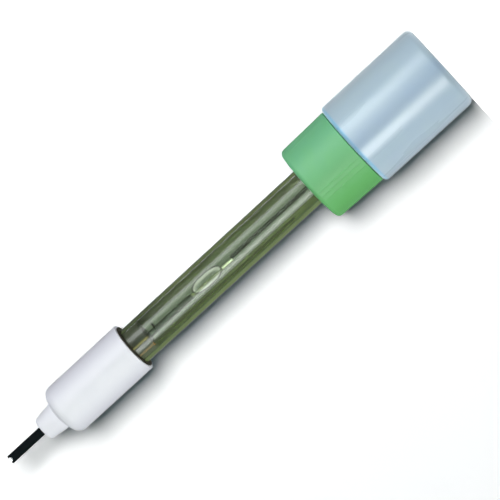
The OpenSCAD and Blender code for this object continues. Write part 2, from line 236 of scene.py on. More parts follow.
class Wire:
    """A socket that joins others by Python's own operators."""

    def __init__(self, shader, socket):
        self.shader = shader
        self.socket = socket

    def _math(self, operation, first, second):
        return self.shader.node("ShaderNodeMath", {0: first, 1: second}, operation=operation)

    def __add__(self, other):
        return self._math("ADD", self, other)

    def __radd__(self, other):
        return self._math("ADD", other, self)

    def __sub__(self, other):
        return self._math("SUBTRACT", self, other)

    def __rsub__(self, other):
        return self._math("SUBTRACT", other, self)

    def __mul__(self, other):
        return self._math("MULTIPLY", self, other)

    def __rmul__(self, other):
        return self._math("MULTIPLY", other, self)


class Shader:
    """A node tree under construction."""

    def __init__(self, name, world=False):
        if world:
            self.owner = bpy.data.worlds.new(name)
        else:
            self.owner = bpy.data.materials.new(name)
        self.owner.use_nodes = True
        self.tree = self.owner.node_tree
        self.tree.nodes.clear()
        self.end = "ShaderNodeOutputWorld" if world else "ShaderNodeOutputMaterial"

    def node(self, kind, values=None, out=0, **chosen):
        """Adds a node, sets it up, then fills in values and links, and gives one output."""
        made = self.tree.nodes.new(kind)
        for name, value in chosen.items():
            setattr(made, name, value)
        for name, value in (values or {}).items():
            socket = made.inputs[name]
            if isinstance(value, Wire):
                self.tree.links.new(value.socket, socket)
            elif hasattr(value, "__len__") and len(value) == 3 and len(socket.default_value) == 4:
                socket.default_value = (*value, 1.0)
            else:
                socket.default_value = value
        return Wire(self, made.outputs[out])

    def mix(self, factor, first, second):
        """Blend of two colours."""
        return self.node("ShaderNodeMix", {0: factor, 6: first, 7: second}, out=2, data_type="RGBA")

    def mix_shader(self, factor, first, second):
        """Blend of two surfaces."""
        return self.node("ShaderNodeMixShader", {0: factor, 1: first, 2: second})

    def ramp(self, value, low, high, floor=0.0, top=1.0):
        """Smooth step of a value from low to high, between floor and top."""
        return self.node("ShaderNodeMapRange",
                         {"Value": value, "From Min": low, "From Max": high,
                          "To Min": floor, "To Max": top},
                         interpolation_type="SMOOTHSTEP")

    def place(self):
        """Object coordinates, in metres."""
        return self.node("ShaderNodeTexCoord", out="Object")

    def axis(self, place, name):
        """One coordinate of a place."""
        return self.node("ShaderNodeSeparateXYZ", {"Vector": place}, out=name)

    def noise(self, place, grain_mm, detail=3.0):
        """Cloudy value from 0 to 1 with grains of about this many millimetres."""
        scale = 1.0 / (grain_mm * MM)
        return self.node("ShaderNodeTexNoise",
                         {"Vector": place, "Scale": scale, "Detail": detail, "Roughness": 0.5},
                         out="Fac")

    def bump(self, height, strength, depth_mm):
        """Normal that follows a height."""
        return self.node("ShaderNodeBump",
                         {"Height": height, "Strength": strength, "Distance": depth_mm * MM},
                         out="Normal")

    def surface(self, **values):
        """A Principled surface, with words joined by underscores for its sockets' names."""
        named = {key.replace("_", " "): value for key, value in values.items()}
        return self.node("ShaderNodeBsdfPrincipled", named)

    def facing(self):
        """0 where a surface faces the eye and 1 where the eye looks along it."""
        return self.node("ShaderNodeLayerWeight", {"Blend": 0.5}, out="Facing")

    def far(self):
        """1 on the far side of a skin, whose faces look away from the eye."""
        return self.node("ShaderNodeNewGeometry", out="Backfacing")

    def ray(self, kind):
        """1 for rays of a kind, such as Camera or Shadow."""
        return self.node("ShaderNodeLightPath", out="Is " + kind + " Ray")

    def clear(self):
        """Nothing at all: light goes straight through."""
        return self.node("ShaderNodeBsdfTransparent", {"Color": WHITE})

    def glow(self, colour, strength):
        """Surface that only shines."""
        return self.node("ShaderNodeEmission", {"Color": colour, "Strength": strength})

    def finish(self, surface):
        """Joins the surface to the output and gives the finished material."""
        end = self.tree.nodes.new(self.end)
        self.tree.links.new(surface.socket, end.inputs["Surface"])
        return self.owner


def times(colour, factor):
    """A colour made lighter or darker."""
    return tuple(c * factor for c in colour)


# Mesh helpers

def corner(x, z, radius, start, turn=90.0, steps=8):
    """Points of an arc about x, z from a start angle in degrees."""
    return [(x + radius * math.cos(math.radians(start + turn * i / steps)),
             z + radius * math.sin(math.radians(start + turn * i / steps)))
            for i in range(steps + 1)]


def turned(bm, outline, around=AROUND):
    """Spins an outline of radius and height about Z.

    An outline that starts and ends on the axis isn't joined along it.
    """
    verts = [bm.verts.new((r, 0.0, z)) for r, z in outline]
    pairs = list(zip(verts, verts[1:]))
    if outline[0][0] > 0.0 or outline[-1][0] > 0.0:
        pairs.append((verts[-1], verts[0]))
    edges = [bm.edges.new(pair) for pair in pairs]
    bmesh.ops.spin(bm, geom=verts + edges, cent=(0, 0, 0), axis=(0, 0, 1), dvec=(0, 0, 0),
                   angle=2 * math.pi, steps=around, use_merge=True, use_duplicate=False)
    bmesh.ops.remove_doubles(bm, verts=bm.verts, dist=1e-7)
    bmesh.ops.recalc_face_normals(bm, faces=bm.faces)


def helix(bm, radius, outward, z, thread):
    """Adds one screw thread on a wall, with both ends run out into the wall.

    Outward is 1 for a thread on an outer wall and -1 for one in a bore.
    """
    foot = radius - outward * thread.sunk
    crest = radius + outward * thread.height
    outline = [(foot, z - thread.base / 2), (crest, z - thread.crest / 2),
               (crest, z + thread.crest / 2), (foot, z + thread.base / 2)]
    verts = [bm.verts.new((r, 0.0, h)) for r, h in outline]
    face = bm.faces.new(verts)
    steps = int(AROUND * thread.turns)
    angle = 2 * math.pi * thread.turns
    rise = thread.lead * thread.turns / steps
    before = set(bm.verts) - set(verts)
    bmesh.ops.spin(bm, geom=[face], cent=(0, 0, 0), axis=(0, 0, 1), dvec=(0, 0, rise),
                   angle=angle, steps=steps, use_merge=False, use_duplicate=False)
    fresh = [v for v in bm.verts if v not in before]
    run_out(fresh, foot, z, thread, angle)
    faces = [f for f in bm.faces if all(v not in before for v in f.verts)]
    bmesh.ops.recalc_face_normals(bm, faces=faces)


def run_out(verts, foot, z, thread, angle):
    """Lowers a thread into its wall over the first and last part of its turns."""
    for vert in verts:
        radius = math.hypot(vert.co.x, vert.co.y)
        # The height says which turn of the thread this is
        along = math.atan2(vert.co.y, vert.co.x)
        guess = (vert.co.z - z) / thread.lead * 2 * math.pi
        along += 2 * math.pi * round((guess - along) / (2 * math.pi))
        keep = min(1.0, max(0.0, along / THREAD_FADE), max(0.0, (angle - along) / THREAD_FADE))
        wanted = foot + (radius - foot) * keep
        vert.co.x *= wanted / radius
        vert.co.y *= wanted / radius


def piece(name, bm, body, slot, materials, *nodes):
    """Makes a finished object from a bmesh, which rides on a body and stands for nodes."""
    mesh = bpy.data.meshes.new(name)
    bm.to_mesh(mesh)
    bm.free()
    for polygon in mesh.polygons:
        polygon.use_smooth = True
    mesh.set_sharp_from_angle(angle=SOFT_TURN)
    for material in materials:
        mesh.materials.append(material)
    made = bpy.data.objects.new(name, mesh)
    bpy.context.scene.collection.objects.link(made)
    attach(made, body)
    if nodes:
        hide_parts(*nodes)
    return made


def dress(node, material):
    """Gives a CAD node its material."""
    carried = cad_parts[node]
    if not carried.material_slots:
        carried.data.materials.append(material)
    for place in carried.material_slots:
        place.material = material


def carve(target, cutter):
    """Cuts a bmesh out of a finished piece."""
    mesh = bpy.data.meshes.new("cutter")
    cutter.to_mesh(mesh)
    cutter.free()
    tool = bpy.data.objects.new("cutter", mesh)
    bpy.context.scene.collection.objects.link(tool)
    cut = target.modifiers.new("cut", "BOOLEAN")
    cut.object = tool
    cut.operation = "DIFFERENCE"
    cut.solver = "EXACT"
    bpy.context.view_layer.update()
    graph = bpy.context.evaluated_depsgraph_get()
    done = bpy.data.meshes.new_from_object(target.evaluated_get(graph))
    target.modifiers.clear()
    old = target.data
    target.data = done
    done.name = old.name + "_cut"
    bpy.data.meshes.remove(old)
    bpy.data.objects.remove(tool)
    bpy.data.meshes.remove(mesh)


def inner_faces(bm, limit):
    """Gives the faces nearer to the axis than a limit the second material."""
    for face in bm.faces:
        centre = face.calc_center_median()
        if math.hypot(centre.x, centre.y) < limit:
            face.material_index = 1


def radius_of(node):
    """Outside radius of a CAD node."""
    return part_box(node)[1].x


def foot_of(node):
    """Lowest height of a CAD node."""
    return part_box(node)[0].z


def head_of(node):
    """Highest height of a CAD node."""
    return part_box(node)[1].z


# Plastics, rubber and metals

def bottle_plastic(colour, rim):
    """Milky pale blue with faint streaks along the bottle, a painted highlight in a clearer blue on
    the shoulder's rounded edge, and painted shade in a darker blue down the middle where X is near
    0.
    """
    milky = (0.52, 0.64, 0.72)
    cloudy = (0.40, 0.54, 0.70)
    shoulder_highlight_blue = (0.20, 0.56, 0.84)
    middle_shade_blue = (0.30, 0.44, 0.61)
    frost = (0.85, 0.95, 1.0, 1.0)
    m = Shader("bottle_plastic")
    place = m.place()
    along = m.node("ShaderNodeMapping", {"Vector": place, "Scale": (1.0, 1.0, 0.12)})
    flow = m.noise(along, grain_mm=4.0, detail=2.0)
    mottle = m.noise(place, grain_mm=7.0, detail=2.0)
    hue = m.mix(m.ramp(flow, 0.3, 0.7, 0.0, 0.22), tuple(colour), milky)
    hue = m.mix(m.ramp(mottle, 0.35, 0.7, 0.0, 0.3), hue, cloudy)
    # Painted highlight: a clearer blue on the shoulder's rounded edge, where light catches it
    edge = m.ramp(m.axis(place, "Z"), rim - 1.5 * MM, rim - 0.6 * MM, 0.0, 0.75)
    hue = m.mix(edge, hue, shoulder_highlight_blue)
    # Painted shade: a darker blue down the middle, where X is near 0
    across = m.axis(place, "X")
    middle = m.ramp(across, -3.5 * MM, -0.5 * MM) * m.ramp(across, 0.5 * MM, 4.5 * MM, 1.0, 0.0)
    hue = m.mix(middle * 0.45, hue, middle_shade_blue)
    grain = m.noise(place, grain_mm=0.5)
    return m.finish(m.surface(
        Base_Color=hue, Roughness=m.ramp(flow, 0.2, 0.8, 0.26, 0.34), IOR=1.5,
        Sheen_Weight=0.8, Sheen_Roughness=0.5, Sheen_Tint=frost,
        Normal=m.bump(grain, strength=0.08, depth_mm=0.04)))


def collar_plastic(lit_side_green, shade_side_green):
    """Satin green with faint grain, and painted light: a cooler, bluer green on the +X side, where
    the key light falls.
    """
    fresh_green = (0.165, 0.53, 0.20)
    m = Shader("collar_plastic")
    place = m.place()
    # Painted light: the green turns cooler and bluer towards +X, where the key light falls
    side = m.ramp(m.axis(place, "X"), -11 * MM, 11 * MM)
    mottle = m.noise(place, grain_mm=4.0)
    hue = m.mix(side, tuple(shade_side_green), tuple(lit_side_green))
    hue = m.mix(m.ramp(mottle, 0.35, 0.75, 0.0, 0.3), hue, fresh_green)
    grain = m.noise(place, grain_mm=0.35)
    return m.finish(m.surface(
        Base_Color=hue, Roughness=m.ramp(grain, 0.2, 0.8, 0.5, 0.6), IOR=1.45,
        Normal=m.bump(grain, strength=0.12, depth_mm=0.03)))


def white_plastic(name, colour, shade, seam=None):
    """Smooth white moulding with a hint of cloud in it, and painted shade: greyer towards its sides
    and in a seam.
    """
    cloudy = (0.74, 0.78, 0.86)
    seam_shade_grey = (0.42, 0.43, 0.48)
    m = Shader(name)
    place = m.place()
    across = m.axis(place, "X")
    cloud = m.noise(place, grain_mm=5.0, detail=2.0)
    # Painted shade: the shade colour towards +X, and half of it towards -X
    hue = m.mix(m.ramp(across, -1 * MM, 8 * MM), colour, shade)
    hue = m.mix(m.ramp(across, -8 * MM, -3 * MM, 0.5, 0.0), hue, shade)
    hue = m.mix(m.ramp(cloud, 0.3, 0.7, 0.0, 0.12), hue, cloudy)
    if seam:
        # Painted shade: a grey line at the seam next to the cap, where its narrow gap lies in
        # shadow
        seam_shade = 1.0 - m.ramp(m.axis(place, "Z"), seam + 0.25 * MM, seam + 0.6 * MM)
        hue = m.mix(seam_shade * 0.7, hue, seam_shade_grey)
    grain = m.noise(place, grain_mm=0.25, detail=2.0)
    return m.finish(m.surface(
        Base_Color=hue, Roughness=m.ramp(grain, 0.2, 0.8, 0.46, 0.54), IOR=1.46,
        Normal=m.bump(grain, strength=0.08, depth_mm=0.02)))


def plain_finish(name, colour, rough, grain_mm=0.3, metal=0.0, relief=0.15, shine=0.5, glow=0.0):
    """Rubber, wire or small moulding with a fine grain in colour and height. Glow, where given,
    makes it shine on its own, which is painted light.
    """
    m = Shader(name)
    grain = m.noise(m.place(), grain_mm)
    hue = m.mix(m.ramp(grain, 0.3, 0.7), times(colour, 0.8), times(colour, 1.15))
    return m.finish(m.surface(
        Base_Color=hue, Roughness=m.ramp(grain, 0.2, 0.8, rough * 0.85, min(1.0, rough * 1.15)),
        Metallic=metal, Specular_IOR_Level=shine, Normal=m.bump(grain, relief, depth_mm=0.03),
        Emission_Color=hue, Emission_Strength=glow))


def silver_finish(bright, dull, height):
    """Silver that is bright below a height and darker above it, and that glows a little, which is
    painted light.
    """
    m = Shader("bright_silver")
    place = m.place()
    grain = m.noise(place, grain_mm=0.25)
    above = m.ramp(m.axis(place, "Z"), height - 0.4 * MM, height + 0.2 * MM)
    hue = m.mix(above, bright, dull)
    # Painted light: a faint glow in the wire's own colours, as lamps don't reach it inside the
    # glass
    return m.finish(m.surface(
        Base_Color=hue, Roughness=m.ramp(grain, 0.2, 0.8, 0.25, 0.4), Metallic=0.6,
        Emission_Color=hue, Emission_Strength=0.18))


def clear_skin(name, colour, deep, low, high, thin, thick, polished=False, behind=1.0):
    """Clear tinted layer: thin in the middle, closing up where the eye looks along it.

    Low and high say where it closes up, thin and thick how far it covers before and after,
    and behind how many times as far on its far side. Polished adds gloss in front.
    """
    m = Shader(name)
    place = m.place()
    along = m.node("ShaderNodeMapping", {"Vector": place, "Scale": (1.0, 1.0, 0.35)})
    cloud = m.noise(along, grain_mm=2.2)
    deeper = m.ramp(m.axis(place, "Z"), DEEP_FROM, DEEP_TO, 0.0, 0.8)
    # Painted light: paler towards -X, on the side that the key light leaves darker
    painted_pale_side = m.ramp(m.axis(place, "X"), PALE_TO, PALE_FROM, 0.5, 0.0)
    hue = m.mix(m.ramp(cloud, 0.3, 0.7), times(colour, 0.9), times(colour, 1.1))
    hue = m.mix(deeper, hue, deep)
    hue = m.mix(painted_pale_side, hue, times(colour, 2.0))
    body = m.surface(Base_Color=hue, Roughness=0.5, Specular_IOR_Level=0.0)
    far = m.far()
    cover = m.ramp(m.facing(), low, high, thin, thick) * (1.0 + far * (behind - 1.0))
    layer = m.mix_shader(cover, m.clear(), body)
    if polished:
        shine = m.node("ShaderNodeFresnel", {"IOR": POLISH_INDEX}) * (1.0 - far)
        mirror = m.surface(Base_Color=(0.92, 0.97, 0.92), Metallic=1.0, Roughness=0.27)
        layer = m.mix_shader(shine, layer, mirror)
    return m.finish(layer)


def bubble_skin(bright, dark):
    """Skin of a bubble: clear in the middle, with a painted reflection near its outline that glows,
    and painted shade as a dark line at the outline.
    """
    m = Shader("bubble_skin")
    cloud = m.noise(m.place(), grain_mm=1.2, detail=2.0)
    facing = m.facing()
    # Painted shade: a dark line where the eye looks along the skin
    outline = m.ramp(facing, 0.30, 0.40)
    light = m.mix(cloud, bright, times(bright, 0.8))
    hue = m.mix(outline, light, dark)
    # Painted reflection: the light band near the outline glows at full strength
    body = m.surface(Base_Color=hue, Roughness=0.4, Emission_Color=hue, Emission_Strength=1.0)
    clear = m.surface(
        Base_Color=WHITE, Roughness=0.0, IOR=BUBBLE_INDEX, Transmission_Weight=1.0)
    near = 1.0 - m.far() * 0.5
    cover = m.ramp(facing, 0.01, 0.16, 0.05, 0.55) + outline * 0.4
    return m.finish(m.mix_shader(cover * near, clear, body))


def glass(name, index, colour):
    """Clear glass or liquid. The index is the one against what surrounds it."""
    m = Shader(name)
    cloud = m.noise(m.place(), grain_mm=3.0, detail=2.0)
    hue = m.mix(cloud, colour, times(colour, 0.97))
    return m.finish(m.surface(
        Base_Color=hue, Roughness=0.0, IOR=index, Transmission_Weight=1.0))


# The parts

class DressBottle(bpy.types.Operator):
    """Blow-moulded bottle with a screw thread on its neck"""
    bl_idname = "electrode.bottle"
    bl_label = "Bottle"
    bl_options = {"REGISTER", "UNDO"}

    def execute(self, context):
        s = settings("bottle")
        thread = settings("thread")
        radius = radius_of("storage_bottle")
        rim = head_of("storage_bottle")
        shoulder = foot_of("screw_collar") - s.shoulder_gap
        roof = shoulder - s.shoulder
        inner = radius - s.wall
        edge = s.base_edge - s.wall / 2
        outline = [(0.0, 0.0)]
        outline += corner(radius - s.base_edge, s.base_edge, s.base_edge, -90)
        outline += corner(radius - s.shoulder_edge, shoulder - s.shoulder_edge, s.shoulder_edge, 0)
        outline += [(s.neck, shoulder), (s.neck, rim), (s.bore, rim), (s.bore, roof)]
        outline += corner(inner - s.shoulder_edge, roof - s.shoulder_edge, s.shoulder_edge, 90, -90)
        outline += corner(inner - edge, s.floor + edge, edge, 0, -90)
        outline += [(0.0, s.floor)]
        bm = bmesh.new()
        turned(bm, outline, AROUND_BOTTLE)
        helix(bm, s.neck, 1, shoulder + thread.base, thread)
        piece("bottle_shell", bm, "bottle", "bottle_plastic",
              [bottle_plastic(s.colour, shoulder)], "storage_bottle")
        return {"FINISHED"}


class DressCollar(bpy.types.Operator):
    """Screw collar with grip ridges outside and a thread inside"""
    bl_idname = "electrode.collar"
    bl_label = "Collar"
    bl_options = {"REGISTER", "UNDO"}

    def execute(self, context):
        s = settings("collar")
        thread = settings("thread")
        foot = foot_of("screw_collar")
        top = head_of("screw_collar")
        ceiling = top - s.top
        skirt_top = ceiling - s.pocket_depth
        outline = [(s.bore, foot)]
        outline += corner(s.foot_radius - s.skirt_edge, foot + s.skirt_edge, s.skirt_edge, -90, 88)
        low = foot + s.skirt_edge
        high = top - s.edge
        for i in range(1, SKIRT_ROWS):
            z = low + (high - low) * i / SKIRT_ROWS
            outline.append((self.wall(z, foot, top, s), z))
        outline += corner(self.wall(high, foot, top, s) - s.edge, high, s.edge, 0)
        outline += [(s.hole, top), (s.hole, ceiling), (s.pocket, ceiling), (s.pocket, skirt_top),
                    (s.bore, skirt_top)]
        bm = bmesh.new()
        turned(bm, outline, AROUND_COLLAR)
        self.ridges(bm, low, high, s)
        helix(bm, s.bore, -1, foot + thread.base + thread.lead / 2, thread)
        piece("grip_collar", bm, "collar", "collar_plastic",
              [collar_plastic(s.lit_side_green, s.shade_side_green)], "screw_collar")
        return {"FINISHED"}

    def wall(self, z, foot, top, s):
        """Outside radius at a height."""
        return s.foot_radius + (s.top_radius - s.foot_radius) * (z - foot) / (top - foot)

    def ridges(self, bm, low, high, s):
        """Raises groups of fine grip ridges on the outer wall."""
        step = s.ridge_pitch / s.foot_radius
        centres = [FIRST_GROUP + g * 2 * math.pi / RIDGE_GROUPS
                   + (i - (RIDGES_IN_GROUP - 1) / 2) * step
                   for g in range(RIDGE_GROUPS) for i in range(RIDGES_IN_GROUP)]
        half = s.ridge_width / 2 / s.foot_radius
        for vert in bm.verts:
            radius = math.hypot(vert.co.x, vert.co.y)
            if radius < s.top_radius - s.edge or not low <= vert.co.z <= high:
                continue
            angle = math.atan2(vert.co.y, vert.co.x)
            near = min(abs(math.remainder(angle - c, 2 * math.pi)) for c in centres)
            if near >= half:
                continue
            ends = min(1.0, (vert.co.z - low) / RIDGE_FADE, (high - vert.co.z) / RIDGE_FADE)
            lift = s.ridge_proud * math.cos(near / half * math.pi / 2) * max(0.0, ends)
            vert.co.x *= 1 + lift / radius
            vert.co.y *= 1 + lift / radius


class DressSeal(bpy.types.Operator):
    """Rubber ring and slip washer inside the collar"""
    bl_idname = "electrode.seal"
    bl_label = "Seal"
    bl_options = {"REGISTER", "UNDO"}

    def execute(self, context):
        dress("seal_ring", plain_finish("ring_rubber", (0.02, 0.02, 0.02), rough=0.55))
        dress("seal_washer", plain_finish("washer_plastic", (0.75, 0.75, 0.68), rough=0.45))
        return {"FINISHED"}


class DressShaft(bpy.types.Operator):
    """Clear shaft with its slotted guard, and the gel inside it"""
    bl_idname = "electrode.shaft"
    bl_label = "Shaft"
    bl_options = {"REGISTER", "UNDO"}

    def execute(self, context):
        s = settings("shaft")
        radius = radius_of("body_tube")
        tip = foot_of("body_tube")
        top = head_of("body_tube")
        bore = radius - s.wall
        outline = [(bore, tip)]
        outline += corner(radius - s.tip_edge, tip + s.tip_edge, s.tip_edge, -90)
        first = tip + s.slot_height + s.slot_width / 2
        rings = [first + (top - first) * i / s.rings for i in range(s.rings + 1)]
        outline += [(radius, z) for z in rings] + [(bore, z) for z in reversed(rings)]
        bm = bmesh.new()
        turned(bm, outline)
        inner_faces(bm, (bore + radius) / 2)
        skin = clear_skin("shaft_plastic", s.colour, s.deep,
                          low=0.36, high=0.46, thin=0.03, thick=0.95, polished=True)
        inside = clear_skin("shaft_inside", s.colour, s.deep,
                            low=0.5, high=1.0, thin=0.01, thick=0.12)
        made = piece("clear_shaft", bm, "electrode", "shaft_plastic", [skin, inside], "body_tube")
        for i in range(s.slots // 2):
            carve(made, self.slot_tool(s, tip, radius, (i + 0.5) * 2 * math.pi / s.slots))
        self.gel(s)
        return {"FINISHED"}

    def slot_tool(self, s, tip, radius, angle):
        """Solid of two slots that face each other, with round upper ends."""
        half = s.slot_width / 2
        arch = corner(0.0, tip + s.slot_height - half, half, 0, 180, 16)
        outline = [(half, tip - half)] + arch + [(-half, tip - half)]
        bm = bmesh.new()
        reach = radius + half
        face = bm.faces.new([bm.verts.new((x, -reach, z)) for x, z in outline])
        pushed = bmesh.ops.extrude_face_region(bm, geom=[face])
        verts = [v for v in pushed["geom"] if isinstance(v, bmesh.types.BMVert)]
        bmesh.ops.translate(bm, vec=(0, 2 * reach, 0), verts=verts)
        bmesh.ops.rotate(bm, cent=(0, 0, 0), matrix=Matrix.Rotation(angle, 3, "Z"), verts=bm.verts)
        bmesh.ops.recalc_face_normals(bm, faces=bm.faces)
        return bm

    def gel(self, s):
        """Olive gel between shaft and stem."""
        outer = radius_of("reference_gel")
        low = foot_of("reference_gel")
        high = head_of("reference_gel")
        inner = radius_of("glass_stem") + GEL_ROOM
        bm = bmesh.new()
        turned(bm, [(inner, low), (outer, low), (outer, high), (inner, high)])
        inner_faces(bm, (inner + outer) / 2)
        skin = clear_skin("olive_gel", s.gel, s.deep,
                          low=0.11, high=0.24, thin=0.05, thick=0.3, behind=3.2)
        inside = glass("gel_inside", GEL_INDEX, (0.97, 0.99, 0.95))
        piece("olive_fill", bm, "electrode", "olive_gel", [skin, inside], "reference_gel")


class DressCell(bpy.types.Operator):
    """Glass stem and bulb, the liquid in them, and the plugs that close them"""
    bl_idname = "electrode.cell"
    bl_label = "Glass cell"
    bl_options = {"REGISTER", "UNDO"}

    def execute(self, context):
        s = settings("cell")
        self.stem(s)
        self.liquid(s)
        dress("sensing_bulb", glass("bulb_glass", BULB_INDEX, (0.93, 0.97, 0.96)))
        dress("potting_plug", clear_skin(
            "clear_potting", (0.26, 0.31, 0.20), (0.20, 0.25, 0.14),
            low=0.11, high=0.3, thin=0.14, thick=0.3, behind=6.0))
        dress("stem_seal", plain_finish("plug_rubber", (0.05, 0.05, 0.048), rough=0.6))
        dress("stem_stopper", glass("stopper_silicone", STOPPER_INDEX, (0.93, 0.96, 0.90)))
        dress("ceramic_junction", plain_finish(
            "junction_ceramic", (0.8, 0.78, 0.72), rough=0.8, grain_mm=0.1))
        return {"FINISHED"}

    def stem(self, s):
        """Plain glass tube with softened ends."""
        outer = radius_of("glass_stem")
        low = foot_of("glass_stem")
        high = head_of("glass_stem")
        bm = bmesh.new()
        soft = s.stem_edge
        outline = corner(outer - soft, low + soft, soft, -90, 90, 3)
        outline += corner(outer - soft, high - soft, soft, 0, 90, 3)
        outline += [(s.stem_bore, high), (s.stem_bore, low)]
        turned(bm, outline)
        piece("clear_stem", bm, "electrode", "stem_glass",
              [glass("stem_glass", STEM_INDEX, s.glass)], "glass_stem")

    def liquid(self, s):
        """Liquid that fills stem and bulb, with one long bubble left in it."""
        reach = s.stem_bore + s.wetting
        low = foot_of("glass_stem")
        high = foot_of("stem_stopper")
        bulb = radius_of("inner_buffer") + s.wetting
        middle = foot_of("inner_buffer") - s.wetting + bulb
        start = math.degrees(math.asin(reach / bulb))
        outline = corner(0.0, middle, bulb, -90, 180 - start, 24)
        outline += [(reach, low), (reach, high), (0.0, high)]
        bm = bmesh.new()
        turned(bm, outline)
        self.bubble(bm, s)
        liquid = glass("buffer_liquid", LIQUID_INDEX, s.liquid)
        bubble = bubble_skin(bright=(0.50, 0.53, 0.46), dark=(0.015, 0.02, 0.012))
        piece("stem_liquid", bm, "electrode", "buffer_liquid", [liquid, bubble], "inner_buffer")

    def bubble(self, bm, s):
        """Hollow with round ends, whose faces look into it."""
        half = (s.bubble_head - s.bubble_foot) / 2
        middle = s.bubble_foot + half
        outline = []
        for i in range(s.bubble_rows + 1):
            up = math.sin(math.radians(-90 + 180 * i / s.bubble_rows))
            width = max(0.0, 1 - abs(up) ** s.bubble_square) ** 0.5
            outline.append((s.bubble_radius * width, middle + half * up))
        hollow = bmesh.new()
        turned(hollow, outline)
        bmesh.ops.reverse_faces(hollow, faces=hollow.faces)
        for face in hollow.faces:
            face.material_index = 1
        mesh = bpy.data.meshes.new("bubble")
        hollow.to_mesh(mesh)
        hollow.free()
        bm.from_mesh(mesh)
        bpy.data.meshes.remove(mesh)


class DressWires(bpy.types.Operator):
    """Reference and measuring wires and their leads"""
    bl_idname = "electrode.wires"
    bl_label = "Wires"
    bl_options = {"REGISTER", "UNDO"}

    def execute(self, context):
        dress("measuring_element", plain_finish(
            "coated_silver", (0.02, 0.025, 0.02), rough=0.6, grain_mm=0.15))
        dress("measuring_wire", silver_finish(
            (0.50, 0.54, 0.38), (0.11, 0.13, 0.06), settings("cell").bubble_foot))
        dress("wire_sleeve", plain_finish("sleeve_plastic", (0.03, 0.045, 0.03), rough=0.5))
        # Painted light: the gold lead glows, as lamps light it only faintly inside the shaft
        dress("measuring_lead", plain_finish(
            "gold_lead", (0.80, 0.74, 0.16), rough=0.35, grain_mm=0.2, metal=0.3, glow=1.6))
        dress("reference_element", plain_finish(
            "coated_reference", (0.008, 0.012, 0.004), rough=0.8, grain_mm=0.15, shine=0.1))
        # Painted light: the copper lead glows, as lamps light it only faintly inside the shaft
        dress("reference_lead", plain_finish(
            "copper_lead", (0.85, 0.48, 0.12), rough=0.35, grain_mm=0.2, metal=0.3, glow=1.4))
        return {"FINISHED"}


class DressCap(bpy.types.Operator):
    """White cap, its strain relief and the dark ring under it"""
    bl_idname = "electrode.cap"
    bl_label = "Cap"
    bl_options = {"REGISTER", "UNDO"}

    def execute(self, context):
        dress("top_cap", white_plastic(
            "cap_plastic", (0.88, 0.91, 0.94), (0.73, 0.74, 0.82)))
        dress("strain_relief", white_plastic(
            "relief_plastic", (0.88, 0.90, 0.94), (0.74, 0.75, 0.83), seam=head_of("top_cap")))
        dress("cap_gasket", plain_finish(
            "gasket_rubber", (0.024, 0.021, 0.010), rough=0.6, shine=0.2))
        return {"FINISHED"}


class DressCable(bpy.types.Operator):
    """Short cut stub of coaxial cable"""
    bl_idname = "electrode.cable"
    bl_label = "Cable"
    bl_options = {"REGISTER", "UNDO"}

    def execute(self, context):
        dress("cable_jacket", plain_finish(
            "jacket_plastic", (0.0015, 0.004, 0.005), rough=0.5, shine=0.05))
        dress("cable_braid", plain_finish(
            "braid_metal", (0.5, 0.45, 0.38), rough=0.4, grain_mm=0.1, metal=1.0, relief=0.5))
        dress("cable_insulation", plain_finish(
            "insulation_plastic", (0.5, 0.54, 0.55), rough=0.5))
        dress("cable_core", plain_finish(
            "core_metal", (0.7, 0.4, 0.25), rough=0.35, grain_mm=0.2, metal=1.0))
        dress("crimp_ferrule", plain_finish(
            "ferrule_metal", (0.6, 0.6, 0.62), rough=0.35, grain_mm=0.2, metal=1.0))
        return {"FINISHED"}


